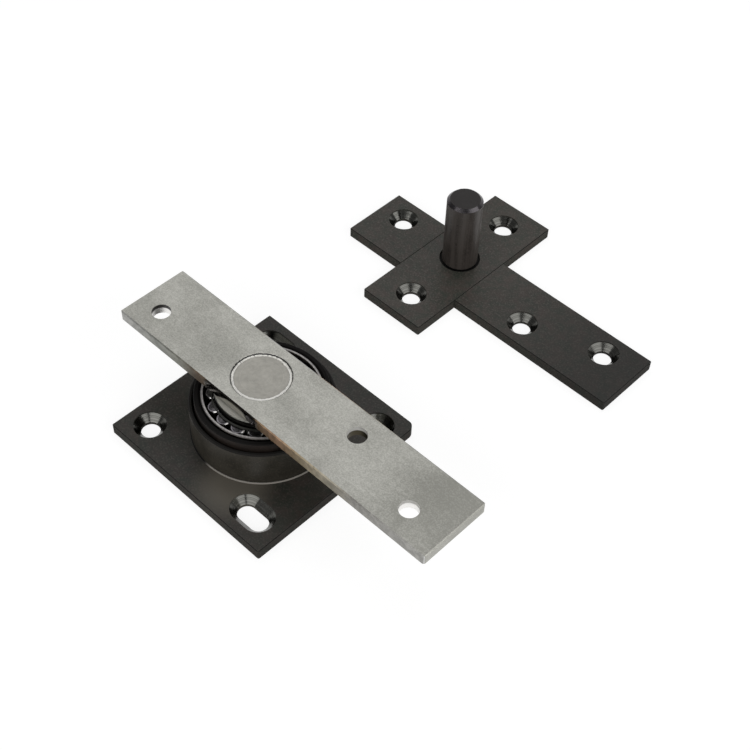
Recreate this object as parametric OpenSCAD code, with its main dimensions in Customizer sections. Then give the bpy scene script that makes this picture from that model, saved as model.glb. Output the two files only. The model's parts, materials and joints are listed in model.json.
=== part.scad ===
// Pivot hinge for a door, both halves as they lie on a bench.
// Lower half: a floor plate with a housed tapered roller bearing that carries the door arm.
// Upper half: a cross of two flat bars with the plain top pin.
// +Z is up, the bearing axis is the Z axis and z = 0 is the underside of the floor plate.

/* [Floor plate] */
// Side of the square plate
plate_side = 92; // [80:1:120]
// Thickness of the plate
plate_t = 5; // [4:0.5:8]
// Distance of the round screw holes from the bearing axis, along X and along Y
plate_hole_offset = 34.5; // [33:0.5:36]
// Distance of the slots' middles from the bearing axis, along X
plate_slot_offset = 30.25; // [28:0.25:33]
// Travel of a screw along its slot
slot_travel = 7; // [4:0.5:10]
// Radius of the corner that is rounded
plate_round_r = 4; // [1:0.5:8]

/* [Screw holes] */
// Diameter of the screw's hole
screw_d = 8.5; // [6:0.1:9]
// Diameter of the countersink at the face
countersink_d = 14.5; // [12:0.1:15]
// Depth of the straight rim above the countersink's cone
countersink_rim = 0.6; // [0:0.1:0.8]

/* [Arm] */
// Width of the flat bar, the same for the arm and for the upper bars
bar_w = 35; // [32:0.5:40]
// Thickness of the flat bar
bar_t = 5; // [4.5:0.5:8]
// Reach of the arm's short end from the axis
arm_tail = 70; // [66:0.5:80]
// Reach of the arm's long end from the axis
arm_reach = 107.5; // [100:0.5:140]

/* [Bearing] */
// Bore of the inner race
bearing_bore = 25; // [24:0.5:25]
// Outside diameter of the outer race
bearing_od = 52; // [52:0.5:53]
// Height of the whole bearing
bearing_h = 16.25; // [16:0.05:17]
// Height of the inner race
inner_race_h = 15; // [14.5:0.1:15]
// Height of the outer race
outer_race_h = 13; // [12.5:0.1:13]
// Diameter of the outer raceway at the mouth
raceway_mouth_d = 49; // [48.5:0.1:49.5]
// Half angle of the outer raceway
raceway_angle = 14.04; // [13.5:0.01:14.5]
// Number of rollers
roller_count = 17; // [14:1:17]
// Diameter of a roller at half length
roller_d = 6.2; // [5.6:0.1:6.2]
// Length of a roller
roller_l = 9.4; // [8.5:0.1:9.4]

/* [Housing] */
// Height of the bearing's shoulder above the floor
shoulder_z = 14.75; // [14:0.25:20]
// Outside diameter of the sleeve round the bearing holder
sleeve_od = 62.5; // [62.5:0.5:66]
// Wall of the sleeve
sleeve_wall = 1.5; // [1:0.1:1.5]
// Height of the sleeve's rim above the floor
sleeve_top_z = 23.75; // [21:0.25:25]
// Height of the bearing holder's rim above the floor
holder_top_z = 27.5; // [26:0.25:27.5]

/* [Upper cross] */
// Place of the crossing along X
cross_x = -10; // [-30:0.5:30]
// Place of the crossing along Y
cross_y = 131.5; // [125:0.5:160]
// Reach of the long bar's short end from the crossing
long_bar_tail = 51.5; // [48:0.5:60]
// Reach of the long bar's long end from the crossing
long_bar_reach = 105.5; // [98:0.5:140]
// Reach of the cross bar towards the lower half
cross_bar_tail = 42.5; // [38:0.5:45]
// Reach of the cross bar away from the lower half
cross_bar_reach = 52; // [48:0.5:70]
// Diameter of the top pin
pin_d = 17; // [12:0.5:20]
// Height of the pin's end above the floor
pin_top_z = 42.5; // [30:0.5:60]
// Distance of the pin from the long bar's middle line
pin_offset = 5.5; // [0:0.5:6]

/* [Hidden] */
$fn = 96;
// Overshoot of a cutter past the face it opens
over = 1;

// Screw holes
cone_depth = (countersink_d - screw_d) / 2;
plate_edge_break = 0.3;
plate_corner_r = 0.8;

// Heights of the bearing stack, with the spindle's thin collar between bearing and arm
collar_t = 0.75;
cup_top_z = shoulder_z + outer_race_h;
cone_top_z = shoulder_z + bearing_h;
cone_foot_z = cone_top_z - inner_race_h;
arm_z = cone_top_z + collar_t;
arm_top_z = arm_z + bar_t;

// Rolling geometry: both raceways and all rollers are cones with one common apex
apex_z = cup_top_z - raceway_mouth_d / 2 / tan(raceway_angle);
roller_drop = 1;
roller_mid_s = (cup_top_z - roller_drop - apex_z) - roller_l / 2;
roller_phase = 0.63;
roller_half_angle = atan(roller_d / 2 / roller_mid_s);
roller_tilt = raceway_angle - roller_half_angle;
cone_angle = raceway_angle - 2 * roller_half_angle;
roller_far_s = (cup_top_z - roller_drop - apex_z) / cos(roller_tilt);
roller_near_s = roller_far_s - roller_l;
roller_play = 0.06;
roller_far_break = 0.4;
roller_near_break = 0.3;

// Races
race_corner_r = 0.8;
lip_break = 0.25;
race_chamfer = 0.5;
rib_break = 0.3;
rib_r = 20.25;
rib_play = 0.12;
small_rib_r = 16.9;
small_rib_h = 1.2;

// Cage, measured across the rollers' own slope
cage_in = -0.25;
cage_out = 0.45;
cage_flange_in = 1.15;
cage_flange_t = 0.8;
cage_end_play = 0.3;
pocket_play = 0.18;

// Housing
fit_gap = 0.05;
sleeve_r = sleeve_od / 2;
sleeve_in_r = sleeve_r - sleeve_wall;
sleeve_rim_break = 0.6;
seam_out = 0.35;
seam_h = 0.45;
seam_crease = 0.35;
holder_r = 28.75;
holder_step_z = 18;
holder_rim_break = 0.35;
holder_mouth_break = 0.9;
holder_floor_z = shoulder_z - 2;
shoulder_r = 20.5;
seat_r = bearing_od / 2 + fit_gap;

// Arm and spindle
arm_edge_break = 0.5;
arm_corner_r = 1.2;
arm_holes = [[-57, -5.5], [49.5, 6], [88.5, -5.5]];
spindle_r = bearing_bore / 2 - fit_gap;
spindle_hole_r = bearing_bore / 2;
spindle_foot_break = 0.7;
spindle_rim_in = 1;
spindle_rim_h = 0.6;
spindle_sink = 0.5;
spindle_hole_break = 0.7;
collar_r = 16;
stake_w = 1.8;
stake_in = 1.5;
stake_depth = 0.45;
stake_angle = 82;

// Upper cross
lap_gap = 0.08;
lap_z = bar_t / 2;
bar_edge_break = 0.3;
bar_corner_r = 0.6;
long_bar_holes = [[-37.5, 6], [49, -6], [87, 6]];
cross_bar_holes = [[0, 38], [0, -28.5]];
pin_break = 1.4;
pin_neck_in = 0.2;
pin_hole_r = pin_d / 2 - pin_neck_in + fit_gap;
pin_recess_out = 1.3;
pin_recess_depth = 1;

function roller_number(i) = str(i < 10 ? "0" : "", i);
function roller_name(i) = str("roller_", roller_number(i));
function raceway_r(z) = (z - apex_z) * tan(raceway_angle);
function cone_r(z) = (z - apex_z) * tan(cone_angle);
// Point at distance s from the apex along a roller's axis and o outwards across it
function on_roller(s, o) = [
    s * sin(roller_tilt) + o * cos(roller_tilt),
    apex_z + s * cos(roller_tilt) - o * sin(roller_tilt)
];
// Height of the plane across a roller's axis at distance s from the apex, at radius r
function across_roller_z(s, r) = apex_z + (s - r * sin(roller_tilt)) / cos(roller_tilt);
// Height at which the inner raceway meets the plane across a roller's axis
function cone_meets_z(s) = apex_z + s / (tan(cone_angle) * sin(roller_tilt) + cos(roller_tilt));
function arc_points(centre, r, from, to, steps = 5) = [
    for (i = [0:steps])
        let (a = from + (to - from) * i / steps)
        [centre[0] + r * cos(a), centre[1] + r * sin(a)]
];

// Half profile of a screw hole through a plate whose top is at z = thick: the hole,
// a 90 degree countersink and its straight rim
function screw_hole_profile(thick) = [
    [screw_d / 2, -over],
    [screw_d / 2, thick - countersink_rim - cone_depth],
    [countersink_d / 2, thick - countersink_rim],
    [countersink_d / 2, thick + over]
];

module countersunk_hole(thick) {
    rotate_extrude()
        polygon(concat([[0, -over]], screw_hole_profile(thick), [[0, thick + over]]));
}

// The same hole drawn out along X, so that the plate can be shifted before it is tightened
module countersunk_slot(thick, travel) {
    side_profile = screw_hole_profile(thick);
    for (side = [-1, 1])
        translate([side * travel / 2, 0, 0])
            countersunk_hole(thick);
    translate([-travel / 2, 0, 0])
        rotate([90, 0, 90])
            linear_extrude(travel)
                polygon(concat(
                    side_profile,
                    [for (i = [3:-1:0]) [-side_profile[i][0], side_profile[i][1]]]
                ));
}

// What is cut from a plate's corner at the origin, which points to +X +Y
module corner_cutter(r, thick) {
    difference() {
        translate([-r, -r, -over])
            cube([r + over, r + over, thick + 2 * over]);
        translate([-r, -r, -2 * over])
            cylinder(r = r, h = thick + 4 * over, $fn = 48);
    }
}

// Flat steel from x0 to x1 and y0 to y1, with its top edges broken.
// corners holds the corner radii, anticlockwise from the one at +X +Y.
module flat_steel(x0, x1, y0, y1, thick, edge_break, corners) {
    bevel = edge_break * sqrt(2);
    mid_x = (x0 + x1) / 2;
    mid_y = (y0 + y1) / 2;
    corner_at = [[x1, y1], [x0, y1], [x0, y0], [x1, y0]];
    difference() {
        translate([x0, y0, 0])
            cube([x1 - x0, y1 - y0, thick]);
        for (y = [y0, y1])
            translate([mid_x, y, thick])
                rotate([45, 0, 0])
                    cube([x1 - x0 + 2 * over, bevel, bevel], center = true);
        for (x = [x0, x1])
            translate([x, mid_y, thick])
                rotate([0, 45, 0])
                    cube([bevel, y1 - y0 + 2 * over, bevel], center = true);
        for (i = [0:3])
            translate([corner_at[i][0], corner_at[i][1], 0])
                rotate([0, 0, 90 * i])
                    corner_cutter(corners[i], thick);
    }
}

// Floor plate: round holes on one diagonal, slots on the other
module floor_plate() {
    half = plate_side / 2;
    color("#3c3935")
        difference() {
            flat_steel(-half, half, -half, half, plate_t, plate_edge_break,
                [plate_round_r, plate_corner_r, plate_corner_r, plate_corner_r]);
            for (side = [-1, 1]) {
                translate([side * plate_hole_offset, side * plate_hole_offset, 0])
                    countersunk_hole(plate_t);
                translate([side * plate_slot_offset, -side * plate_hole_offset, 0])
                    countersunk_slot(plate_t, slot_travel);
            }
        }
}

// Thin sleeve round the bearing holder, with the fine seam that joins it to the plate
module cover_sleeve() {
    seam_top = plate_t + seam_h;
    color("#383531")
        rotate_extrude()
            polygon([
                [sleeve_in_r, plate_t],
                [sleeve_r + seam_out, plate_t],
                [sleeve_r + seam_out, seam_top - seam_out / 2],
                [sleeve_r + seam_out / 2, seam_top],
                [sleeve_r - seam_crease, seam_top],
                [sleeve_r, seam_top + seam_crease],
                [sleeve_r, sleeve_top_z - sleeve_rim_break],
                [sleeve_r - sleeve_rim_break, sleeve_top_z],
                [sleeve_in_r, sleeve_top_z]
            ]);
}

// Turned holder: a shoulder under the outer race, a seat round it and a stepped neck outside
module bearing_holder() {
    color("#332f2c")
        rotate_extrude()
            polygon([
                [0, plate_t],
                [sleeve_in_r - fit_gap, plate_t],
                [sleeve_in_r - fit_gap, holder_step_z],
                [holder_r, holder_step_z],
                [holder_r, holder_top_z - holder_rim_break],
                [holder_r - holder_rim_break, holder_top_z],
                [seat_r + holder_mouth_break, holder_top_z],
                [seat_r, holder_top_z - holder_mouth_break],
                [seat_r, shoulder_z],
                [shoulder_r, shoulder_z],
                [shoulder_r, holder_floor_z],
                [0, holder_floor_z]
            ]);
}

// Outer race, widening upwards
module outer_race() {
    r = bearing_od / 2;
    color("#c9c8c4")
        rotate_extrude()
            polygon(concat(
                [[raceway_r(shoulder_z), shoulder_z]],
                arc_points([r - race_corner_r, shoulder_z + race_corner_r], race_corner_r, -90, 0),
                arc_points([r - race_corner_r, cup_top_z - race_corner_r], race_corner_r, 0, 90),
                [[raceway_r(cup_top_z) + lip_break, cup_top_z]],
                [[raceway_r(cup_top_z - lip_break), cup_top_z - lip_break]]
            ));
}

// Inner race, with the large rib that guides the rollers' big ends
module inner_race() {
    r = bearing_bore / 2;
    rib_s = roller_far_s + rib_play;
    raceway_end_z = cone_meets_z(rib_s);
    small_rib_z = cone_foot_z + small_rib_h;
    color("#c4c3be")
        rotate_extrude()
            polygon([
                [r, cone_foot_z + race_chamfer],
                [r + race_chamfer, cone_foot_z],
                [small_rib_r - race_chamfer / 2, cone_foot_z],
                [small_rib_r, cone_foot_z + race_chamfer / 2],
                [small_rib_r, small_rib_z],
                [cone_r(small_rib_z) - roller_play, small_rib_z],
                [cone_r(raceway_end_z) - roller_play, raceway_end_z],
                [rib_r, across_roller_z(rib_s, rib_r)],
                [rib_r, cone_top_z - rib_break],
                [rib_r - rib_break, cone_top_z],
                [r + race_corner_r, cone_top_z],
                [r, cone_top_z - race_corner_r]
            ]);
}

// Frustum of a roller, grown by a play all round
module roller_body(play, near_break, far_break) {
    s0 = roller_near_s - max(play, 0);
    s1 = roller_far_s + max(play, 0);
    r0 = s0 * tan(roller_half_angle) + play;
    r1 = s1 * tan(roller_half_angle) + play;
    translate([0, 0, s0])
        rotate_extrude($fn = 48)
            polygon([
                [0, 0],
                [r0 - near_break, 0],
                [r0, near_break],
                [r1, s1 - s0 - far_break],
                [r1 - far_break, s1 - s0],
                [0, s1 - s0]
            ]);
}

// Puts a roller's axis into its own place round the bearing
module at_roller(i) {
    translate([0, 0, apex_z])
        rotate([0, roller_tilt, 360 * (i - 1 + roller_phase) / roller_count])
            children();
}

module roller(i) {
    color("#d6d5d1")
        at_roller(i)
            roller_body(-roller_play, roller_near_break, roller_far_break);
}

// Pressed cage: a slotted cone on the rollers' pitch circle, flanged inwards under their small ends
module roller_cage() {
    near_0 = roller_near_s - cage_end_play - cage_flange_t;
    near_1 = roller_near_s - cage_end_play;
    far_1 = roller_far_s + cage_end_play + cage_flange_t;
    color("#26241f")
        difference() {
            rotate_extrude()
                polygon([
                    on_roller(near_0, -cage_flange_in),
                    on_roller(near_0, cage_out),
                    on_roller(far_1, cage_out),
                    on_roller(far_1, cage_in),
                    on_roller(near_1, cage_in),
                    on_roller(near_1, -cage_flange_in)
                ]);
            for (i = [1:roller_count])
                at_roller(i)
                    roller_body(pocket_play, pocket_play, pocket_play);
        }
}

// Spindle, pressed into the inner race, with its end just below the arm's top and one stake
// mark in its rim.
// Its thin collar lies between the race and the arm.
module spindle() {
    length = arm_top_z - spindle_sink - cone_foot_z;
    collar_from = cone_top_z - cone_foot_z;
    color("#a9a69f")
        difference() {
            translate([0, 0, cone_foot_z])
                rotate_extrude()
                    polygon([
                        [0, 0],
                        [spindle_r - spindle_foot_break, 0],
                        [spindle_r, spindle_foot_break],
                        [spindle_r, collar_from],
                        [collar_r, collar_from],
                        [collar_r, collar_from + collar_t],
                        [spindle_r, collar_from + collar_t],
                        [spindle_r, length - spindle_rim_h],
                        [spindle_r - spindle_rim_in, length],
                        [0, length]
                    ]);
            rotate([0, 0, stake_angle])
                translate([spindle_r - stake_in, -stake_w / 2, cone_foot_z + length - stake_depth])
                    cube([stake_in + over, stake_w, stake_depth + over]);
        }
}

// Door arm with three plain holes, one towards each edge in turn
module arm() {
    color("#a5a29b")
        difference() {
            translate([0, 0, arm_z])
                flat_steel(-arm_tail, arm_reach, -bar_w / 2, bar_w / 2, bar_t, arm_edge_break,
                    [arm_corner_r, arm_corner_r, arm_corner_r, arm_corner_r]);
            for (hole = arm_holes)
                translate([hole[0], hole[1], arm_z - over])
                    cylinder(d = screw_d, h = bar_t + 2 * over);
            translate([0, 0, arm_z - over])
                cylinder(r = spindle_hole_r, h = bar_t + 2 * over);
            translate([0, 0, arm_top_z - spindle_hole_break])
                cylinder(r1 = spindle_hole_r, r2 = spindle_hole_r + over + spindle_hole_break,
                    h = spindle_hole_break + over);
        }
}

// Hole for the top pin, with the shallow recess round its foot
module pin_hole() {
    translate([0, pin_offset, -over])
        cylinder(r = pin_hole_r, h = bar_t + 2 * over);
    translate([0, pin_offset, bar_t - pin_recess_depth])
        cylinder(r = pin_d / 2 + pin_recess_out, h = pin_recess_depth + over);
}

// Long bar of the upper cross, halved from above where the cross bar lies in it
module upper_long_bar() {
    color("#3d3a36")
        translate([cross_x, cross_y, 0])
            difference() {
                flat_steel(-long_bar_tail, long_bar_reach, -bar_w / 2, bar_w / 2, bar_t,
                    bar_edge_break, [bar_corner_r, bar_corner_r, bar_corner_r, bar_corner_r]);
                translate([-bar_w / 2 - lap_gap, -bar_w / 2 - over, lap_z])
                    cube([bar_w + 2 * lap_gap, bar_w + 2 * over, bar_t]);
                for (hole = long_bar_holes)
                    translate([hole[0], hole[1], 0])
                        countersunk_hole(bar_t);
                pin_hole();
            }
}

// Cross bar, halved from below so that it lies flush in the long bar
module upper_cross_bar() {
    color("#3a3733")
        translate([cross_x, cross_y, 0])
            difference() {
                flat_steel(-bar_w / 2, bar_w / 2, -cross_bar_tail, cross_bar_reach, bar_t,
                    bar_edge_break, [bar_corner_r, bar_corner_r, bar_corner_r, bar_corner_r]);
                translate([-bar_w / 2 - over, -bar_w / 2 - lap_gap, lap_z - bar_t])
                    cube([bar_w + 2 * over, bar_w + 2 * lap_gap, bar_t]);
                for (hole = cross_bar_holes)
                    translate([hole[0], hole[1], 0])
                        countersunk_hole(bar_t);
                pin_hole();
            }
}

// Plain top pin with a broken end. Its neck fills the hole through both bars.
module top_pin() {
    r = pin_d / 2;
    neck_r = r - pin_neck_in;
    color("#393633")
        translate([cross_x, cross_y + pin_offset, 0])
            rotate_extrude()
                polygon([
                    [0, 0],
                    [neck_r, 0],
                    [neck_r, bar_t],
                    [r, bar_t],
                    [r, pin_top_z - pin_break],
                    [r - pin_break, pin_top_z],
                    [0, pin_top_z]
                ]);
}

floor_plate();
cover_sleeve();
bearing_holder();
outer_race();
inner_race();
roller_cage();
for (i = [1:roller_count]) roller(i);
spindle();
arm();
upper_long_bar();
upper_cross_bar();
top_pin();
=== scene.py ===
"""Looks of the pivot hinge: finishes for every piece, plus floor, light and camera."""
import json
import math

import bmesh
import bpy
from mathutils import Matrix, Vector


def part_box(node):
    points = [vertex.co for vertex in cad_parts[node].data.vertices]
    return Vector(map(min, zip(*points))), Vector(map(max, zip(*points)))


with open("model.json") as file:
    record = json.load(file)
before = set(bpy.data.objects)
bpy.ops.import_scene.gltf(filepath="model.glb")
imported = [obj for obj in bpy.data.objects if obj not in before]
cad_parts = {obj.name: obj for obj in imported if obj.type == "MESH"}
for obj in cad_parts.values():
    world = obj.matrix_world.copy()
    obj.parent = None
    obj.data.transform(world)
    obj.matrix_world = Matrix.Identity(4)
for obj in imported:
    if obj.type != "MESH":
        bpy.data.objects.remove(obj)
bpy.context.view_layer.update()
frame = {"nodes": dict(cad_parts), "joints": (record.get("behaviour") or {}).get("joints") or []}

# ---------------------------------------------------------------------------
# Floor plate
# Square of 5 mm rolled steel with a satin black-brown oxide finish. Its faces are smooth
# and a little cloudy, its sawn sides rough, and the finish is thin along the sharp edges.
# ---------------------------------------------------------------------------


def make_group(name, inputs, outputs):
    """A shader group with named sockets: inputs maps a name to (socket type, default value)."""
    group = bpy.data.node_groups.new(name, "ShaderNodeTree")
    for label, (kind, value) in inputs.items():
        socket = group.interface.new_socket(label, in_out="INPUT", socket_type="NodeSocket" + kind)
        if value is not None:
            socket.default_value = value
    for label, kind in outputs.items():
        group.interface.new_socket(label, in_out="OUTPUT", socket_type="NodeSocket" + kind)
    given = group.nodes.new("NodeGroupInput").outputs
    result = group.nodes.new("NodeGroupOutput").inputs
    return group, given, result


def add(tree, kind, inputs, **settings):
    """Adds a node, sets its options, and links or sets its inputs by name or number."""
    node = tree.nodes.new(kind)
    for label, value in settings.items():
        setattr(node, label, value)
    for label, value in inputs.items():
        if isinstance(value, bpy.types.NodeSocket):
            tree.links.new(value, node.inputs[label])
        else:
            node.inputs[label].default_value = value
    return node


def maths(tree, operation, *values, clamp=False):
    """Output of one Math node."""
    node = add(tree, "ShaderNodeMath", dict(enumerate(values)), operation=operation, use_clamp=clamp)
    return node.outputs[0]


def blend_colours(tree, factor, first, second):
    """Output of a Mix node between two colours."""
    node = tree.nodes.new("ShaderNodeMix")
    node.data_type = "RGBA"
    for socket, value in zip((node.inputs[0], node.inputs[6], node.inputs[7]), (factor, first, second)):
        if isinstance(value, bpy.types.NodeSocket):
            tree.links.new(value, socket)
        else:
            socket.default_value = value
    return node.outputs[2]


def span(tree, value, low, high, to_low=0.0, to_high=1.0):
    """Maps value from low..high to to_low..to_high, smoothly and clamped."""
    node = add(
        tree,
        "ShaderNodeMapRange",
        {"Value": value, "From Min": low, "From Max": high, "To Min": to_low, "To Max": to_high},
        interpolation_type="SMOOTHSTEP",
    )
    return node.outputs["Result"]


def place_in_mm(tree):
    """The point on the surface, in millimetres in the hinge's own frame."""
    metres = tree.nodes.new("ShaderNodeTexCoord").outputs["Object"]
    scaled = add(tree, "ShaderNodeVectorMath", {0: metres, "Scale": 1000.0}, operation="SCALE")
    return scaled.outputs[0]


def own_normal(tree):
    """The direction that the surface faces, in the piece's own frame, so it turns with the piece."""
    return tree.nodes.new("ShaderNodeTexCoord").outputs["Normal"]


def build_cloudiness():
    """Soft patches and a fine tooth in a dipped or rolled finish, each from 0 to 1."""
    group, given, result = make_group(
        "cloudiness",
        {
            "Place": ("Vector", None),
            "Patch Size": ("Float", 20.0),
            "Tooth Size": ("Float", 0.5),
        },
        {"Patches": "Float", "Tooth": "Float"},
    )
    patch_scale = maths(group, "DIVIDE", 1.0, given["Patch Size"])
    patches = add(
        group,
        "ShaderNodeTexNoise",
        {"Vector": given["Place"], "Scale": patch_scale, "Detail": 4.0, "Roughness": 0.55, "Distortion": 0.4},
    )
    tooth_scale = maths(group, "DIVIDE", 1.0, given["Tooth Size"])
    tooth = add(
        group,
        "ShaderNodeTexNoise",
        {"Vector": given["Place"], "Scale": tooth_scale, "Detail": 3.0, "Roughness": 0.6},
    )
    group.links.new(span(group, patches.outputs["Fac"], 0.3, 0.7), result["Patches"])
    group.links.new(tooth.outputs["Fac"], result["Tooth"])
    return group


def build_edge_rub():
    """1 along sharp outer edges and 0 elsewhere, broken up by a fine noise."""
    group, given, result = make_group(
        "edge rub",
        {"Place": ("Vector", None), "Width": ("Float", 0.0004), "Break Size": ("Float", 2.0)},
        {"Mask": "Float"},
    )
    rounded = add(group, "ShaderNodeBevel", {"Radius": given["Width"]}, samples=6)
    surface = group.nodes.new("ShaderNodeNewGeometry")
    agreement = add(
        group,
        "ShaderNodeVectorMath",
        {0: rounded.outputs["Normal"], 1: surface.outputs["Normal"]},
        operation="DOT_PRODUCT",
    )
    bend = span(group, agreement.outputs["Value"], 0.995, 0.85)
    break_scale = maths(group, "DIVIDE", 1.0, given["Break Size"])
    breaks = add(group, "ShaderNodeTexNoise", {"Vector": given["Place"], "Scale": break_scale, "Detail": 4.0})
    kept = span(group, breaks.outputs["Fac"], 0.35, 0.65, 0.25, 1.0)
    group.links.new(maths(group, "MULTIPLY", bend, kept), result["Mask"])
    return group


cloudiness = build_cloudiness()
edge_rub = build_edge_rub()


def start_material(name):
    """A material with a plain Principled shader: returns it, its tree and the shader."""
    material = bpy.data.materials.new(name)
    material.use_nodes = True
    tree = material.node_tree
    return material, tree, tree.nodes["Principled BSDF"]


def use_group(tree, group, inputs):
    """Outputs of a group placed in a tree."""
    node = tree.nodes.new("ShaderNodeGroup")
    node.node_tree = group
    for label, value in inputs.items():
        if isinstance(value, bpy.types.NodeSocket):
            tree.links.new(value, node.inputs[label])
        else:
            node.inputs[label].default_value = value
    return node.outputs


cone_slope = math.sqrt(0.5)  # Z of the surface's direction on a 45 degree cone


def black_oxide(name, light_pool=None, light_falloff=None):
    """Satin black oxide on rolled flat steel, with rougher sawn sides and smooth countersinks.
    light_pool is a round patch of painted light, lighter and warmer: its place in mm and its
    radius. light_falloff is the span of X, in mm, over which painted light fades, so the finish gets darker
    along it."""
    material, tree, shader = start_material(name)
    shader.inputs["Specular IOR Level"].default_value = 0.32
    place = place_in_mm(tree)
    cloud = use_group(tree, cloudiness, {"Place": place, "Patch Size": 26.0, "Tooth Size": 0.8})
    hue = use_group(tree, cloudiness, {"Place": place, "Patch Size": 5.0, "Tooth Size": 0.4})
    worn = use_group(tree, edge_rub, {"Place": place, "Width": 0.00035, "Break Size": 3.0})
    green = blend_colours(tree, cloud["Patches"], (0.0205, 0.0235, 0.018, 1.0), (0.029, 0.032, 0.026, 1.0))
    brown = blend_colours(tree, cloud["Patches"], (0.031, 0.0245, 0.021, 1.0), (0.046, 0.037, 0.032, 1.0))
    oxide = blend_colours(tree, hue["Patches"], green, brown)
    oxide = blend_colours(tree, span(tree, cloud["Tooth"], 0.45, 0.75), oxide, (0.064, 0.058, 0.050, 1.0))
    # Painted light: a round patch is painted lighter and warmer, as a pool of light on the face.
    if light_pool is not None:
        spot, reach = light_pool
        away = add(tree, "ShaderNodeVectorMath", {0: place, 1: spot}, operation="DISTANCE")
        pooled_light = span(tree, away.outputs["Value"], reach, reach * 0.25)
        oxide = blend_colours(tree, pooled_light, oxide, (0.125, 0.113, 0.092, 1.0))
    # Painted light: the finish is painted up to 1.55 times lighter at the low end of X, falling to 0.62 times
    # at the high end.
    if light_falloff is not None:
        across = add(tree, "ShaderNodeSeparateXYZ", {0: place}).outputs["X"]
        strength = span(tree, across, light_falloff[0], light_falloff[1], 1.55, 0.62)
        oxide = add(tree, "ShaderNodeVectorMath", {0: oxide, "Scale": strength}, operation="SCALE").outputs[0]
    oxide = blend_colours(tree, maths(tree, "MULTIPLY", worn["Mask"], 0.2), oxide, (0.16, 0.15, 0.135, 1.0))

    facing = add(tree, "ShaderNodeSeparateXYZ", {0: own_normal(tree)})
    level = add(tree, "ShaderNodeSeparateXYZ", {0: place}).outputs["Z"]
    below_face = span(tree, level, face_height - 0.02, face_height - 0.06)
    deep = span(tree, level, face_height - 0.35, face_height - 0.75)
    off_cone = maths(tree, "ABSOLUTE", maths(tree, "SUBTRACT", facing.outputs["Z"], cone_slope))
    cone = maths(tree, "MULTIPLY", span(tree, off_cone, 0.12, 0.04), deep)
    ring_turns = maths(tree, "DIVIDE", level, 0.45)
    rings = add(
        tree, "ShaderNodeTexNoise", {"W": ring_turns, "Scale": 1.0, "Detail": 2.0}, noise_dimensions="1D"
    )
    groove = span(tree, rings.outputs["Fac"], 0.35, 0.65)
    turned = blend_colours(tree, groove, (0.125, 0.124, 0.115, 1.0), (0.072, 0.072, 0.066, 1.0))
    upright = span(tree, maths(tree, "ABSOLUTE", facing.outputs["Z"]), 0.35, 0.05)
    # Painted shade: below the face, faces that are not upright are painted near-black, namely recess bottoms
    # and the top band of each countersink.
    sunk = maths(tree, "MULTIPLY", below_face, maths(tree, "SUBTRACT", 1.0, upright))
    recess_shade = blend_colours(tree, sunk, oxide, (0.006, 0.0055, 0.005, 1.0))
    tree.links.new(blend_colours(tree, cone, recess_shade, turned), shader.inputs["Base Color"])
    tree.links.new(cone, shader.inputs["Metallic"])

    dull = maths(tree, "MAXIMUM", upright, below_face)
    face = maths(tree, "MULTIPLY_ADD", cloud["Patches"], 0.08, 0.36)
    flat_rough = add(tree, "ShaderNodeMix", {"Factor": dull, "A": face, "B": 0.85})
    rough = add(tree, "ShaderNodeMix", {"Factor": cone, "A": flat_rough.outputs["Result"], "B": 0.18})
    tree.links.new(rough.outputs["Result"], shader.inputs["Roughness"])

    bump = add(tree, "ShaderNodeBump", {"Strength": 0.35, "Distance": 0.00005, "Height": cloud["Tooth"]})
    tree.links.new(bump.outputs["Normal"], shader.inputs["Normal"])
    return material


def finish_node(name, material):
    """Gives one CAD node its finish."""
    for slot in frame["nodes"][name].material_slots:
        slot.material = material


face_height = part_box("floor_plate")[1].z * 1000.0
# Painted light: a lighter, warmer patch on the plate in front of the sleeve.
plate_oxide = black_oxide("plate oxide", ((15.0, -31.0, face_height), 21.0))
finish_node("floor_plate", plate_oxide)

# ---------------------------------------------------------------------------
# Cover sleeve and bearing holder
# Turned steel rings with the same dark finish. The lathe left a fine pitch in their walls,
# and the thin seam at the sleeve's foot carries a painted highlight under a line of painted shade.
# ---------------------------------------------------------------------------


def build_turning():
    """Lathe marks round the Z axis: a height from 0 to 1 that repeats along the profile."""
    group, given, result = make_group(
        "turning marks",
        {"Place": ("Vector", None), "Pitch": ("Float", 0.25)},
        {"Height": "Float", "Radius": "Float", "Level": "Float"},
    )
    parts = add(group, "ShaderNodeSeparateXYZ", {0: given["Place"]})
    across = maths(group, "POWER", parts.outputs["X"], 2.0)
    along = maths(group, "POWER", parts.outputs["Y"], 2.0)
    radius = maths(group, "SQRT", maths(group, "ADD", across, along))
    profile = maths(group, "ADD", radius, parts.outputs["Z"])
    turns = maths(group, "DIVIDE", profile, given["Pitch"])
    line = add(group, "ShaderNodeTexNoise", {"W": turns, "Scale": 1.0, "Detail": 3.0}, noise_dimensions="1D")
    group.links.new(line.outputs["Fac"], result["Height"])
    group.links.new(radius, result["Radius"])
    group.links.new(parts.outputs["Z"], result["Level"])
    return group


turning = build_turning()


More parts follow.
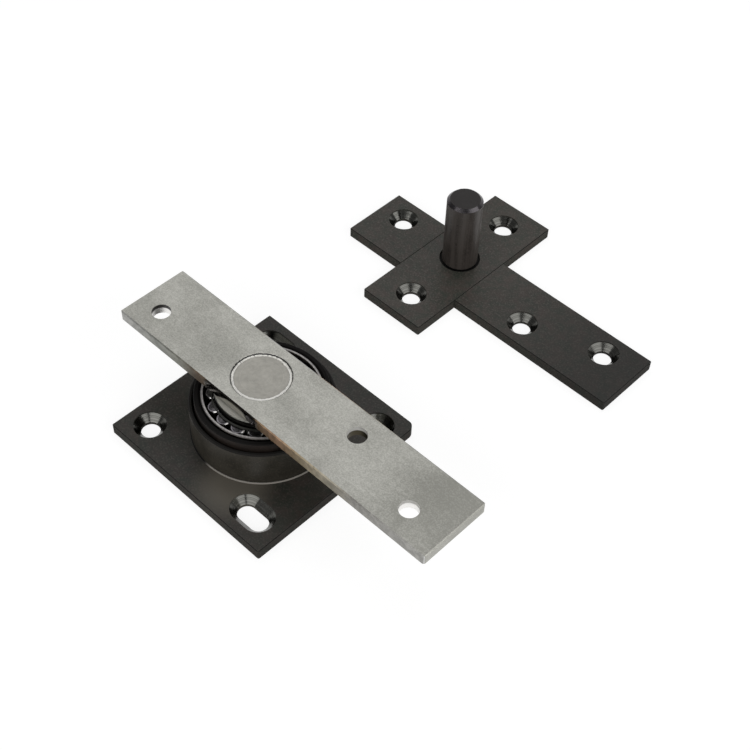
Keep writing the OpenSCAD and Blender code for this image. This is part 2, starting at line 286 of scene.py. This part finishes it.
def turned_black(name, tone, warm_tone, shaded_top_tone, roughness, flat_extra=0.0):
    """Dark finish on a turned part, with its upward faces painted darker as painted shade. Returns the
    material, its tree and shader, the place in mm, the direction that the surface faces, and the colour."""
    material, tree, shader = start_material(name)
    shader.inputs["Specular IOR Level"].default_value = 0.3
    place = place_in_mm(tree)
    marks = use_group(tree, turning, {"Place": place, "Pitch": 0.22})
    cloud = use_group(tree, cloudiness, {"Place": place, "Patch Size": 12.0, "Tooth Size": 0.7})
    oxide = blend_colours(tree, cloud["Patches"], tone, warm_tone)
    light_tone = tuple(1.8 * part for part in warm_tone[:3]) + (1.0,)
    oxide = blend_colours(tree, span(tree, cloud["Tooth"], 0.45, 0.8), oxide, light_tone)
    facing = add(tree, "ShaderNodeSeparateXYZ", {0: own_normal(tree)})
    upward = span(tree, facing.outputs["Z"], 0.30, 0.60)
    # Painted shade: upward faces take the darker shaded_top_tone.
    oxide = blend_colours(tree, upward, oxide, shaded_top_tone)
    satin = maths(tree, "MULTIPLY_ADD", cloud["Patches"], 0.08, roughness)
    rough = maths(tree, "MULTIPLY_ADD", upward, flat_extra, satin)
    tree.links.new(rough, shader.inputs["Roughness"])
    bump = add(tree, "ShaderNodeBump", {"Strength": 0.3, "Distance": 0.00004, "Height": marks["Height"]})
    tree.links.new(bump.outputs["Normal"], shader.inputs["Normal"])
    return material, tree, shader, place, facing, oxide


def sleeve_finish():
    """The sleeve's seam is painted bright on its +X side as a painted highlight, under a near-black line of
    painted shade.
    """
    material, tree, shader, place, _, oxide = turned_black(
        "sleeve oxide",
        (0.026, 0.0235, 0.018, 1.0),
        (0.046, 0.041, 0.032, 1.0),
        (0.010, 0.009, 0.008, 1.0),
        0.38,
        0.40,
    )
    parts = add(tree, "ShaderNodeSeparateXYZ", {0: place})
    seam_top = face_height + 0.5
    # Painted shade: a near-black line just above the seam.
    crease_shade = span(tree, parts.outputs["Z"], seam_top + 0.7, seam_top + 0.3)
    oxide = blend_colours(tree, crease_shade, oxide, (0.004, 0.004, 0.004, 1.0))
    seam = span(tree, parts.outputs["Z"], seam_top, seam_top - 0.05)
    # Painted highlight: the seam is painted bright on its +X side.
    seam_highlight = maths(tree, "MULTIPLY", seam, span(tree, parts.outputs["X"], -3.5, 1.5))
    oxide = blend_colours(tree, seam_highlight, oxide, (0.37, 0.345, 0.31, 1.0))
    tree.links.new(oxide, shader.inputs["Base Color"])
    return material


def holder_finish():
    """The holder is darker than the sleeve, and painted almost black on top as painted shade."""
    material, tree, shader, _, _, oxide = turned_black(
        "holder oxide",
        (0.008, 0.0065, 0.0055, 1.0),
        (0.018, 0.013, 0.0105, 1.0),
        (0.004, 0.0033, 0.003, 1.0),
        0.5,
        0.25,
    )
    shader.inputs["Specular IOR Level"].default_value = 0.22
    tree.links.new(oxide, shader.inputs["Base Color"])
    return material


finish_node("cover_sleeve", sleeve_finish())
finish_node("bearing_holder", holder_finish())

# ---------------------------------------------------------------------------
# Tapered roller bearing
# Ground bearing steel: bright races with a fine grinding pitch, seventeen polished rollers
# and a dark pressed cage that holds a film of grease.
# ---------------------------------------------------------------------------


def ground_steel(name, face_tone, stained_tone, shaded_wall_tone):
    """Bearing steel: ground flat faces with a matt, mottled look, and walls painted dark as painted shade."""
    material, tree, shader = start_material(name)
    place = place_in_mm(tree)
    marks = use_group(tree, turning, {"Place": place, "Pitch": 0.12})
    cloud = use_group(tree, cloudiness, {"Place": place, "Patch Size": 1.4, "Tooth Size": 0.3})
    facing = add(tree, "ShaderNodeSeparateXYZ", {0: own_normal(tree)})
    flat = span(tree, facing.outputs["Z"], 0.80, 0.98)
    stain = maths(tree, "MULTIPLY_ADD", cloud["Patches"], 0.5, 0.2)
    face = blend_colours(tree, stain, face_tone, stained_tone)
    # Painted shade: faces that do not face up are painted in the dark shaded_wall_tone, darker still in
    # patches.
    darker_shaded_wall = tuple(0.6 * part for part in shaded_wall_tone[:3]) + (1.0,)
    wall = blend_colours(tree, cloud["Patches"], shaded_wall_tone, darker_shaded_wall)
    tree.links.new(blend_colours(tree, flat, wall, face), shader.inputs["Base Color"])
    tree.links.new(span(tree, flat, 0.0, 1.0, 1.0, 0.35), shader.inputs["Metallic"])
    rough = maths(tree, "MULTIPLY_ADD", flat, 0.22, 0.28)
    tree.links.new(rough, shader.inputs["Roughness"])
    bump = add(tree, "ShaderNodeBump", {"Strength": 0.2, "Distance": 0.00002, "Height": marks["Height"]})
    tree.links.new(bump.outputs["Normal"], shader.inputs["Normal"])
    return material


outer_steel = ground_steel(
    "outer race steel",
    (0.66, 0.64, 0.62, 1.0),
    (0.20, 0.185, 0.19, 1.0),
    (0.06, 0.055, 0.05, 1.0),
)
finish_node("outer_race", outer_steel)
inner_steel = ground_steel(
    "inner race steel",
    (0.52, 0.51, 0.47, 1.0),
    (0.44, 0.43, 0.39, 1.0),
    (0.10, 0.10, 0.09, 1.0),
)
finish_node("inner_race", inner_steel)


def polished_rollers(pattern_joint, end_level):
    """Rollers whose end faces are painted near-black inside a brighter rim, as painted shade of a recess,
    worked out from one roller's axis.
    """
    material, tree, shader = start_material("roller steel")
    place = place_in_mm(tree)
    cloud = use_group(tree, cloudiness, {"Place": place, "Patch Size": 2.0, "Tooth Size": 0.2})
    marks = use_group(tree, turning, {"Place": place, "Pitch": 0.12})
    parts = add(tree, "ShaderNodeSeparateXYZ", {0: place})

    middle = [part * 1000.0 for part in pattern_joint["pos_m"]]
    axis = pattern_joint["axis"]
    lean = math.atan2(math.hypot(axis[0], axis[1]), axis[2])
    end_radius = math.hypot(middle[0], middle[1]) + (end_level - middle[2]) * math.tan(lean)
    pitch = 2 * math.pi / roller_count
    first = math.atan2(middle[1], middle[0])
    bearing = maths(tree, "SUBTRACT", maths(tree, "ARCTAN2", parts.outputs["Y"], parts.outputs["X"]), first)
    nearest = maths(tree, "ROUND", maths(tree, "DIVIDE", bearing, pitch))
    aside = maths(tree, "MULTIPLY_ADD", nearest, -pitch, bearing)
    sideways = maths(tree, "MULTIPLY", marks["Radius"], maths(tree, "SINE", aside))
    reach = maths(tree, "MULTIPLY", marks["Radius"], maths(tree, "COSINE", aside))
    outward = maths(tree, "DIVIDE", maths(tree, "SUBTRACT", reach, end_radius), math.cos(lean))
    square = maths(tree, "ADD", maths(tree, "POWER", sideways, 2.0), maths(tree, "POWER", outward, 2.0))
    from_axis = maths(tree, "SQRT", square)

    facing = add(tree, "ShaderNodeSeparateXYZ", {0: own_normal(tree)})
    end_face = span(tree, facing.outputs["Z"], 0.90, 0.96)
    recess_radius = 2.30
    recess = maths(tree, "MULTIPLY", end_face, span(tree, from_axis, recess_radius + 0.15, recess_radius))
    steel = blend_colours(tree, cloud["Patches"], (0.60, 0.59, 0.58, 1.0), (0.36, 0.35, 0.34, 1.0))
    # Painted shade: inside the rim, each end face is painted near-black.
    dark = blend_colours(tree, cloud["Patches"], (0.11, 0.105, 0.11, 1.0), (0.035, 0.034, 0.034, 1.0))
    rim = blend_colours(tree, cloud["Patches"], (0.30, 0.285, 0.31, 1.0), (0.15, 0.14, 0.155, 1.0))
    steel = blend_colours(tree, end_face, steel, rim)
    tree.links.new(blend_colours(tree, recess, steel, dark), shader.inputs["Base Color"])
    shader.inputs["Metallic"].default_value = 1.0
    rough = maths(tree, "MULTIPLY_ADD", cloud["Patches"], 0.10, 0.18)
    tree.links.new(rough, shader.inputs["Roughness"])
    rim_step = span(tree, from_axis, recess_radius, recess_radius + 0.25)
    relief = maths(tree, "MULTIPLY_ADD", maths(tree, "MULTIPLY", rim_step, end_face), 2.0, marks["Height"])
    bump = add(tree, "ShaderNodeBump", {"Strength": 0.5, "Distance": 0.00006, "Height": relief})
    tree.links.new(bump.outputs["Normal"], shader.inputs["Normal"])
    return material


roller_names = sorted(
    name for name in frame["nodes"] if name.startswith("roller_") and name != "roller_cage"
)
roller_count = len(roller_names)
first_spin = next(joint for joint in frame["joints"] if joint["name"] == roller_names[0] + "_spin")
end_drop = 0.65  # mm from a tilted roller's highest point down to the middle of its end
roller_steel = polished_rollers(first_spin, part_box(roller_names[0])[1].z * 1000.0 - end_drop)
for name in roller_names:
    finish_node(name, roller_steel)


def greased_cage():
    """Dark pressed steel, wet with grease in patches."""
    material, tree, shader = start_material("cage steel")
    place = place_in_mm(tree)
    cloud = use_group(tree, cloudiness, {"Place": place, "Patch Size": 3.0, "Tooth Size": 0.3})
    colour = blend_colours(tree, cloud["Patches"], (0.012, 0.012, 0.010, 1.0), (0.034, 0.035, 0.029, 1.0))
    tree.links.new(colour, shader.inputs["Base Color"])
    rough = maths(tree, "MULTIPLY_ADD", cloud["Patches"], 0.25, 0.28)
    tree.links.new(rough, shader.inputs["Roughness"])
    bump = add(tree, "ShaderNodeBump", {"Strength": 0.4, "Distance": 0.00004, "Height": cloud["Tooth"]})
    tree.links.new(bump.outputs["Normal"], shader.inputs["Normal"])
    return material


finish_node("roller_cage", greased_cage())

# ---------------------------------------------------------------------------
# Door arm
# Bare 5 mm flat steel with a matt ground face: fine scratches along the bar, cloudy patches,
# and a brown heat tint on the sides where the arm passes over the bearing. The side tones along the bar also
# hold painted reflection, and over the race the sides are painted as a reflection.
# ---------------------------------------------------------------------------


def build_scratches():
    """Fine scratches along X with some across them, from 0 to 1."""
    group, given, result = make_group(
        "scratches",
        {
            "Place": ("Vector", None),
            "Length": ("Float", 6.0),
            "Width": ("Float", 0.12),
            "Turn": ("Float", 0.0),
        },
        {"Lines": "Float"},
    )
    turned = add(
        group,
        "ShaderNodeVectorRotate",
        {"Vector": given["Place"], "Angle": given["Turn"]},
        rotation_type="Z_AXIS",
    )
    parts = add(group, "ShaderNodeSeparateXYZ", {0: turned.outputs["Vector"]})
    stretched = add(
        group,
        "ShaderNodeCombineXYZ",
        {
            "X": maths(group, "DIVIDE", parts.outputs["X"], given["Length"]),
            "Y": maths(group, "DIVIDE", parts.outputs["Y"], given["Width"]),
            "Z": maths(group, "DIVIDE", parts.outputs["Z"], given["Width"]),
        },
    )
    lines = add(group, "ShaderNodeTexNoise", {"Vector": stretched.outputs[0], "Scale": 1.0, "Detail": 3.0})
    group.links.new(lines.outputs["Fac"], result["Lines"])
    return group


scratches = build_scratches()


highlight_width = 0.90
groove_shade_width = 0.50
chip_depth = 0.5


def groove_highlight_and_shade(tree, place, steel, bore):
    """Colour round the spindle's end, and where the ring is. A bright ring of painted highlight lies over the
    joint, chipped along its edges, with a line of painted shade outside it."""
    marks = use_group(tree, turning, {"Place": place, "Pitch": 0.5})
    chips = add(tree, "ShaderNodeTexNoise", {"Vector": place, "Scale": 0.9, "Detail": 2.0})
    chipping = maths(tree, "SUBTRACT", chips.outputs["Fac"], 0.5)
    radius = maths(tree, "MULTIPLY_ADD", chipping, chip_depth, marks["Radius"])
    ring = span(tree, radius, bore - highlight_width - 0.08, bore - highlight_width + 0.08)
    past_ring = span(tree, radius, bore, bore + 0.12)
    outside = span(tree, radius, bore + groove_shade_width - 0.05, bore + groove_shade_width + 0.10)
    # Painted highlight: a near-white ring on the spindle's edge. Painted shade: a near-black line outside it.
    colour = blend_colours(tree, ring, steel, (1.0, 0.99, 0.95, 1.0))
    colour = blend_colours(tree, past_ring, colour, (0.012, 0.011, 0.009, 1.0))
    return blend_colours(tree, outside, colour, steel), ring


# Side colours along the bar: a brown heat tint, with painted reflection in the lighter and darker stretches.
side_tint_and_reflection = (
    (-70.0, (0.44, 0.435, 0.42)),
    (-45.0, (0.27, 0.275, 0.25)),
    (-30.0, (0.24, 0.235, 0.20)),
    (-20.0, (0.165, 0.125, 0.09)),
    (14.0, (0.27, 0.195, 0.12)),
    (28.0, (0.50, 0.33, 0.215)),
    (40.0, (0.43, 0.35, 0.235)),
    (54.0, (0.50, 0.455, 0.355)),
    (70.0, (0.29, 0.28, 0.26)),
    (107.0, (0.38, 0.375, 0.355)),
)


def bare_steel(bore):
    """Matt ground steel with tinted sides. bore is the radius of the spindle's hole, in mm."""
    material, tree, shader = start_material("arm steel")
    place = place_in_mm(tree)
    cloud = use_group(tree, cloudiness, {"Place": place, "Patch Size": 26.0, "Tooth Size": 0.6})
    spots = use_group(tree, cloudiness, {"Place": place, "Patch Size": 2.6, "Tooth Size": 0.9})
    along = use_group(tree, scratches, {"Place": place, "Length": 7.0, "Width": 0.45, "Turn": 0.05})
    across = use_group(tree, scratches, {"Place": place, "Length": 2.5, "Width": 0.35, "Turn": -1.0})
    parts = add(tree, "ShaderNodeSeparateXYZ", {0: place})
    shade = maths(tree, "MULTIPLY", cloud["Patches"], 0.25)
    shade = maths(tree, "MULTIPLY_ADD", spots["Patches"], 0.20, shade)
    shade = maths(tree, "MULTIPLY_ADD", span(tree, along["Lines"], 0.3, 0.7), 0.14, shade)
    shade = maths(tree, "MULTIPLY_ADD", span(tree, cloud["Tooth"], 0.35, 0.65), 0.50, shade)
    shade = maths(tree, "ADD", shade, span(tree, parts.outputs["X"], 55.0, 100.0, 0.0, 0.35))
    top_steel = blend_colours(tree, shade, (0.63, 0.625, 0.58, 1.0), (0.37, 0.367, 0.333, 1.0))

    facing = add(tree, "ShaderNodeSeparateXYZ", {0: own_normal(tree)})
    off_axis = maths(tree, "ABSOLUTE", parts.outputs["Y"])
    upright = span(tree, maths(tree, "ABSOLUTE", facing.outputs["Z"]), 0.4, 0.1)
    edge = maths(tree, "MULTIPLY", upright, span(tree, off_axis, arm_half - 1.0, arm_half - 1.5))
    past_tail = span(tree, parts.outputs["X"], arm_tail + 1.0, arm_tail + 1.5)
    before_end = span(tree, parts.outputs["X"], arm_end - 1.0, arm_end - 1.5)
    hole_wall = maths(tree, "MULTIPLY", edge, maths(tree, "MULTIPLY", past_tail, before_end))
    mouth = span(tree, parts.outputs["Z"], arm_top - 2.2, arm_top - 1.7)
    mouth_tone = blend_colours(
        tree, span(tree, parts.outputs["X"], -45.0, -50.0), (0.62, 0.61, 0.58, 1.0), (0.02, 0.018, 0.016, 1.0)
    )
    # Painted reflection: the bore walls near the middle hole are painted dark olive, as the dark plate
    # reflected in them.
    off_middle = maths(tree, "ABSOLUTE", maths(tree, "SUBTRACT", parts.outputs["X"], middle_hole_x))
    painted_dark_reflection = span(tree, off_middle, 15.0, 10.0)
    deep_tone = blend_colours(tree, painted_dark_reflection, (0.90, 0.89, 0.87, 1.0), (0.055, 0.047, 0.030, 1.0))
    bore_tone = blend_colours(tree, mouth, deep_tone, mouth_tone)
    steel = blend_colours(tree, hole_wall, top_steel, bore_tone)

    share = maths(tree, "MULTIPLY_ADD", parts.outputs["X"], 1.0 / arm_length, -arm_tail / arm_length)
    ramp = add(tree, "ShaderNodeValToRGB", {"Fac": share})
    stops = ramp.color_ramp.elements
    for i, (along_x, tint) in enumerate(side_tint_and_reflection):
        position = max(0.0, (along_x - arm_tail) / arm_length)
        stop = stops[0] if i == 0 else stops.new(position)
        stop.position = position
        stop.color = (*tint, 1.0)
    dark_side = add(tree, "ShaderNodeVectorMath", {0: ramp.outputs["Color"], "Scale": 0.7}, operation="SCALE")
    side = blend_colours(tree, spots["Patches"], ramp.outputs["Color"], dark_side.outputs[0])
    sideways = span(tree, maths(tree, "ABSOLUTE", facing.outputs["Y"]), 0.45, 0.65)
    sideways = maths(tree, "MULTIPLY", sideways, span(tree, off_axis, arm_half - 0.9, arm_half - 0.6))
    steel = blend_colours(tree, sideways, steel, side)

    # Painted reflection: over the race the sides are painted near-black above and pale below, as things
    # reflected in them; the zone is also smooth.
    over_race = span(tree, maths(tree, "ABSOLUTE", parts.outputs["X"]), 17.0, 13.0)
    polished_reflection = maths(tree, "MULTIPLY", over_race, sideways)
    dark_reflected_band = span(tree, parts.outputs["Z"], arm_top - 2.6, arm_top - 1.0)
    glossy = blend_colours(tree, dark_reflected_band, (0.66, 0.645, 0.60, 1.0), (0.05, 0.045, 0.038, 1.0))
    steel = blend_colours(tree, polished_reflection, steel, glossy)

    marks = use_group(tree, turning, {"Place": place, "Pitch": 0.5})
    steel = groove_highlight_and_shade(tree, place, steel, bore)[0]
    tree.links.new(steel, shader.inputs["Base Color"])
    lip = span(tree, marks["Radius"], bore + groove_shade_width + 0.10, bore + groove_shade_width)
    painted = maths(tree, "MAXIMUM", lip, maths(tree, "MULTIPLY", hole_wall, mouth))
    tree.links.new(span(tree, painted, 0.0, 1.0, 1.0, 0.1), shader.inputs["Metallic"])

    rough = maths(tree, "MULTIPLY_ADD", cloud["Patches"], 0.10, 0.42)
    smooth = add(tree, "ShaderNodeMix", {"Factor": polished_reflection, "A": rough, "B": 0.12})
    tree.links.new(smooth.outputs["Result"], shader.inputs["Roughness"])
    relief = maths(tree, "MULTIPLY_ADD", across["Lines"], 0.5, along["Lines"])
    relief = maths(tree, "ADD", relief, cloud["Tooth"])
    relief = maths(tree, "MULTIPLY", relief, maths(tree, "SUBTRACT", 1.0, polished_reflection))
    bump = add(tree, "ShaderNodeBump", {"Strength": 0.4, "Distance": 0.00006, "Height": relief})
    tree.links.new(bump.outputs["Normal"], shader.inputs["Normal"])
    return material


arm_low, arm_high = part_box("arm")
arm_tail, arm_end = arm_low.x * 1000.0, arm_high.x * 1000.0
arm_half, arm_top = arm_high.y * 1000.0, arm_high.z * 1000.0
arm_length = (arm_high.x - arm_low.x) * 1000.0
middle_hole_x = 50.0
spindle_bore = 12.5
finish_node("arm", bare_steel(spindle_bore))

# ---------------------------------------------------------------------------
# Spindle
# Turned shaft end, just below the arm's top. Its face shows faint rings from facing and a
# small centre. A bright ring of painted highlight covers the joint, with a line of painted shade round it.
# ---------------------------------------------------------------------------


def faced_steel():
    """Turned steel whose end face shows rings round the Z axis."""
    material, tree, shader = start_material("spindle steel")
    place = place_in_mm(tree)
    marks = use_group(tree, turning, {"Place": place, "Pitch": 0.5})
    cloud = use_group(tree, cloudiness, {"Place": place, "Patch Size": 7.0, "Tooth Size": 0.3})
    spots = use_group(tree, cloudiness, {"Place": place, "Patch Size": 1.6, "Tooth Size": 0.5})
    shade = maths(tree, "MULTIPLY", cloud["Patches"], 0.3)
    shade = maths(tree, "MULTIPLY_ADD", marks["Height"], 0.5, shade)
    shade = maths(tree, "MULTIPLY_ADD", spots["Patches"], 0.3, shade)
    face = blend_colours(tree, shade, (0.52, 0.505, 0.46, 1.0), (0.34, 0.33, 0.30, 1.0))
    face, lip = groove_highlight_and_shade(tree, place, face, spindle_bore)
    tree.links.new(face, shader.inputs["Base Color"])
    tree.links.new(maths(tree, "SUBTRACT", 1.0, lip), shader.inputs["Metallic"])
    shader.inputs["Roughness"].default_value = 0.45
    centre = span(tree, marks["Radius"], 1.6, 0.6, 1.0, 0.0)
    relief = maths(tree, "MULTIPLY_ADD", marks["Height"], 0.4, centre)
    bump = add(tree, "ShaderNodeBump", {"Strength": 0.4, "Distance": 0.00006, "Height": relief})
    tree.links.new(bump.outputs["Normal"], shader.inputs["Normal"])
    return material


finish_node("spindle", faced_steel())

# ---------------------------------------------------------------------------
# Upper cross
# Two flat bars halved into each other, oxidised like the floor plate.
# ---------------------------------------------------------------------------

# Painted light: the cross is painted lighter towards low X and darker towards high X.
cross_oxide = black_oxide("cross oxide", light_falloff=(0.0, 95.0))
finish_node("upper_long_bar", cross_oxide)
finish_node("upper_cross_bar", cross_oxide)

# ---------------------------------------------------------------------------
# Top pin
# Turned pin in the same dark finish, smoother than the bars, with a broken end that is
# rubbed bright all the way round.
# ---------------------------------------------------------------------------


def pin_finish():
    """The pin's wall has lighter streaks along it as painted reflection, and its foot is painted black where
    it enters the cross, as painted shade.
    """
    material, tree, shader, place, facing, oxide = turned_black(
        "pin oxide",
        (0.026, 0.022, 0.019, 1.0),
        (0.050, 0.042, 0.037, 1.0),
        (0.020, 0.017, 0.016, 1.0),
        0.36,
    )
    streaks = add(tree, "ShaderNodeVectorMath", {0: place, 1: (0.6, 0.6, 0.03)}, operation="MULTIPLY")
    lines = add(tree, "ShaderNodeTexNoise", {"Vector": streaks.outputs[0], "Scale": 1.0, "Detail": 2.0})
    wall = span(tree, maths(tree, "ABSOLUTE", facing.outputs["Z"]), 0.3, 0.1)
    # Painted reflection: lighter streaks along the pin's wall.
    reflection_streak = maths(tree, "MULTIPLY", wall, span(tree, lines.outputs["Fac"], 0.35, 0.65))
    oxide = blend_colours(tree, reflection_streak, oxide, (0.072, 0.062, 0.055, 1.0))

    off_cone = maths(tree, "ABSOLUTE", maths(tree, "SUBTRACT", facing.outputs["Z"], cone_slope))
    chamfer = span(tree, off_cone, 0.15, 0.04)
    oxide = blend_colours(tree, chamfer, oxide, (0.070, 0.065, 0.069, 1.0))
    level = add(tree, "ShaderNodeSeparateXYZ", {0: place}).outputs["Z"]
    # Painted shade: the pin is painted near-black where it sits in the cross.
    foot = span(tree, level, face_height + 0.35, face_height + 0.1)
    oxide = blend_colours(tree, foot, oxide, (0.003, 0.003, 0.003, 1.0))
    tree.links.new(oxide, shader.inputs["Base Color"])
    tree.links.new(chamfer, shader.inputs["Metallic"])
    satin = shader.inputs["Roughness"].links[0].from_socket
    rough = add(tree, "ShaderNodeMix", {"Factor": chamfer, "A": satin, "B": 0.22})
    tree.links.new(rough.outputs["Result"], shader.inputs["Roughness"])
    return material


finish_node("top_pin", pin_finish())

# ---------------------------------------------------------------------------
# Floor
# A white sweep: a round floor that curves up into a low wall. It shows white to the camera
# and to reflections, and still takes the hinge's shadow.
# ---------------------------------------------------------------------------


def make_sweep(floor_radius, curve, wall_height):
    """Revolves the sweep's profile round the Z axis."""
    mesh = bpy.data.meshes.new("sweep")
    sweep = bpy.data.objects.new("sweep", mesh)
    bpy.context.scene.collection.objects.link(sweep)
    shape = bmesh.new()
    steps = 10
    profile = [Vector((0.0, 0.0, 0.0)), Vector((floor_radius, 0.0, 0.0))]
    for i in range(1, steps + 1):
        angle = math.pi / 2 * i / steps
        profile.append(Vector((floor_radius + curve * math.sin(angle), 0.0, curve * (1 - math.cos(angle)))))
    profile.append(Vector((floor_radius + curve, 0.0, wall_height)))
    points = [shape.verts.new(p) for p in profile]
    edges = [shape.edges.new(pair) for pair in zip(points, points[1:])]
    bmesh.ops.spin(
        shape, geom=points + edges, cent=(0, 0, 0), axis=(0, 0, 1), angle=2 * math.pi, steps=96, use_merge=True
    )
    bmesh.ops.remove_doubles(shape, verts=shape.verts, dist=1e-5)
    bmesh.ops.recalc_face_normals(shape, faces=shape.faces)
    for face in shape.faces:
        face.smooth = True
    shape.to_mesh(mesh)
    shape.free()
    return sweep


def white_sweep():
    """White by its own colour for camera and reflections, plus a thin diffuse layer for shadow."""
    material, tree, shader = start_material("white sweep")
    shader.inputs["Roughness"].default_value = 1.0
    shader.inputs["Specular IOR Level"].default_value = 0.0
    place = place_in_mm(tree)
    cloud = use_group(tree, cloudiness, {"Place": place, "Patch Size": 300.0, "Tooth Size": 20.0})
    paint = blend_colours(tree, cloud["Patches"], (0.24, 0.24, 0.24, 1.0), (0.25, 0.25, 0.25, 1.0))
    tree.links.new(paint, shader.inputs["Base Color"])
    rays = tree.nodes.new("ShaderNodeLightPath")
    seen = maths(tree, "MAXIMUM", rays.outputs["Is Camera Ray"], rays.outputs["Is Glossy Ray"])
    seen = maths(tree, "MAXIMUM", seen, rays.outputs["Is Transmission Ray"])
    glow = add(tree, "ShaderNodeEmission", {"Strength": maths(tree, "MULTIPLY", seen, 0.86)})
    both = add(tree, "ShaderNodeAddShader", {0: shader.outputs[0], 1: glow.outputs[0]})
    tree.links.new(both.outputs[0], tree.nodes["Material Output"].inputs["Surface"])
    return material


sweep = make_sweep(floor_radius=2.2, curve=0.4, wall_height=0.75)
sweep.data.materials.append(white_sweep())

# ---------------------------------------------------------------------------
# Light
# An even grey sky, a large soft box behind and above, and one at each front side.
# ---------------------------------------------------------------------------

world = bpy.data.worlds.new("studio")
world.use_nodes = True
world.node_tree.nodes["Background"].inputs["Color"].default_value = (1.0, 1.0, 1.0, 1.0)
world.node_tree.nodes["Background"].inputs["Strength"].default_value = 0.2
bpy.context.scene.world = world

middle = Vector((0.02, 0.07, 0.02))


def soft_box(name, azimuth, elevation, distance, width, height, radiance):
    """An area light of an even radiance that faces the hinge. Azimuth 0 is towards -Y."""
    light = bpy.data.lights.new(name, "AREA")
    light.shape = "RECTANGLE"
    light.size = width
    light.size_y = height
    light.energy = radiance * math.pi * width * height
    holder = bpy.data.objects.new(name, light)
    bpy.context.scene.collection.objects.link(holder)
    a, e = math.radians(azimuth), math.radians(elevation)
    away = Vector((math.sin(a) * math.cos(e), -math.cos(a) * math.cos(e), math.sin(e)))
    holder.location = middle + away * distance
    holder.rotation_euler = away.to_track_quat("Z", "Y").to_euler()


soft_box("back box", 222.0, 55.0, 1.6, 2.0, 1.5, 0.75)
soft_box("left box", 8.5, 34.0, 1.5, 1.63, 0.65, 2.1)
soft_box("right box", 96.5, 34.0, 1.5, 2.0, 0.65, 2.0)

# ---------------------------------------------------------------------------
# Camera
# Looks down on both halves from the front right, turned a little about its own line of sight.
# ---------------------------------------------------------------------------

camera_azimuth = math.radians(42.462)
camera_elevation = math.radians(48.906)
camera_roll = math.radians(2.221)
camera_distance = 0.588582
camera_aside = Vector((0.047608, 0.024725))
camera_lens = 65.456

back = Vector(
    (
        math.sin(camera_azimuth) * math.cos(camera_elevation),
        -math.cos(camera_azimuth) * math.cos(camera_elevation),
        math.sin(camera_elevation),
    )
)
level = Vector((0.0, 0.0, 1.0)).cross(back).normalized()
upward = back.cross(level)
right = level * math.cos(camera_roll) + upward * math.sin(camera_roll)
top = upward * math.cos(camera_roll) - level * math.sin(camera_roll)

lens = bpy.data.cameras.new("camera")
lens.lens = camera_lens
lens.sensor_width = 36.0
lens.clip_start = 0.01
lens.clip_end = 20.0
camera = bpy.data.objects.new("camera", lens)
bpy.context.scene.collection.objects.link(camera)
place = back * camera_distance + right * camera_aside.x + top * camera_aside.y
turn = Matrix((right, top, back)).transposed().to_4x4()
camera.matrix_world = Matrix.Translation(place) @ turn
bpy.context.scene.camera = camera

bpy.context.scene.view_settings.view_transform = "Standard"
